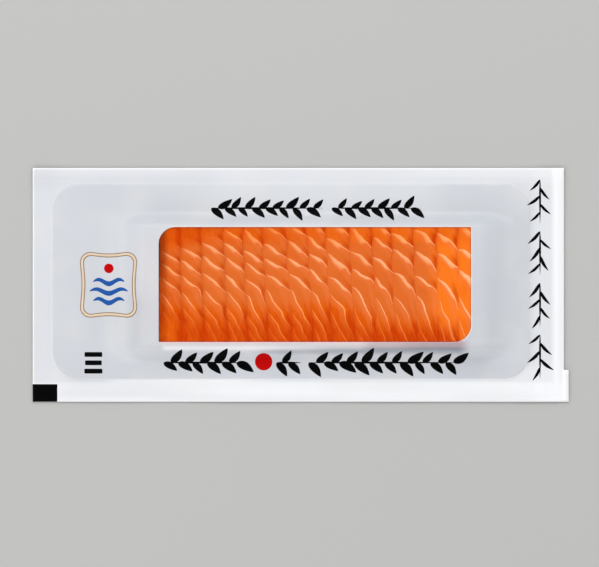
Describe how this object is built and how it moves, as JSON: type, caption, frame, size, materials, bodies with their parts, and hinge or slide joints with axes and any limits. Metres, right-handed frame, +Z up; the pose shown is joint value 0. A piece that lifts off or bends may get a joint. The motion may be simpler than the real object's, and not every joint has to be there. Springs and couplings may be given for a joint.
{
  "type": "pack of smoked salmon",
  "caption": "Flat vacuum pack of sliced smoked salmon: printed film welded over a backing board, with a clear window on the overlapping slices.",
  "frame": {"origin": "under the middle of the pack's outline, on the surface that it lies on", "axes": "+X along the pack, towards the end with the small tab; +Y towards the pack's upper edge; +Z up, out through the clear window"},
  "size_m": [0.3028, 0.132, 0.0131],
  "materials": {
    "lower_film": "satin white film",
    "backing_board": "grey coated board",
    "printed_film": "satin silver white printed film",
    "window_film": "clear glossy film",
    "salmon": "moist orange flesh with pale fat lines"
  },
  "bodies": {
    "root": {"lower_film": "lower_film", "backing_board": "backing_board", "printed_film": "printed_film", "window_film": "window_film", "slice_01": "salmon", "slice_02": "salmon", "slice_03": "salmon", "slice_04": "salmon", "slice_05": "salmon", "slice_06": "salmon", "slice_07": "salmon", "slice_08": "salmon", "slice_09": "salmon", "slice_10": "salmon", "slice_11": "salmon", "slice_12": "salmon", "slice_13": "salmon", "slice_14": "salmon", "slice_15": "salmon", "slice_16": "salmon"}
  },
  "joints": []
}
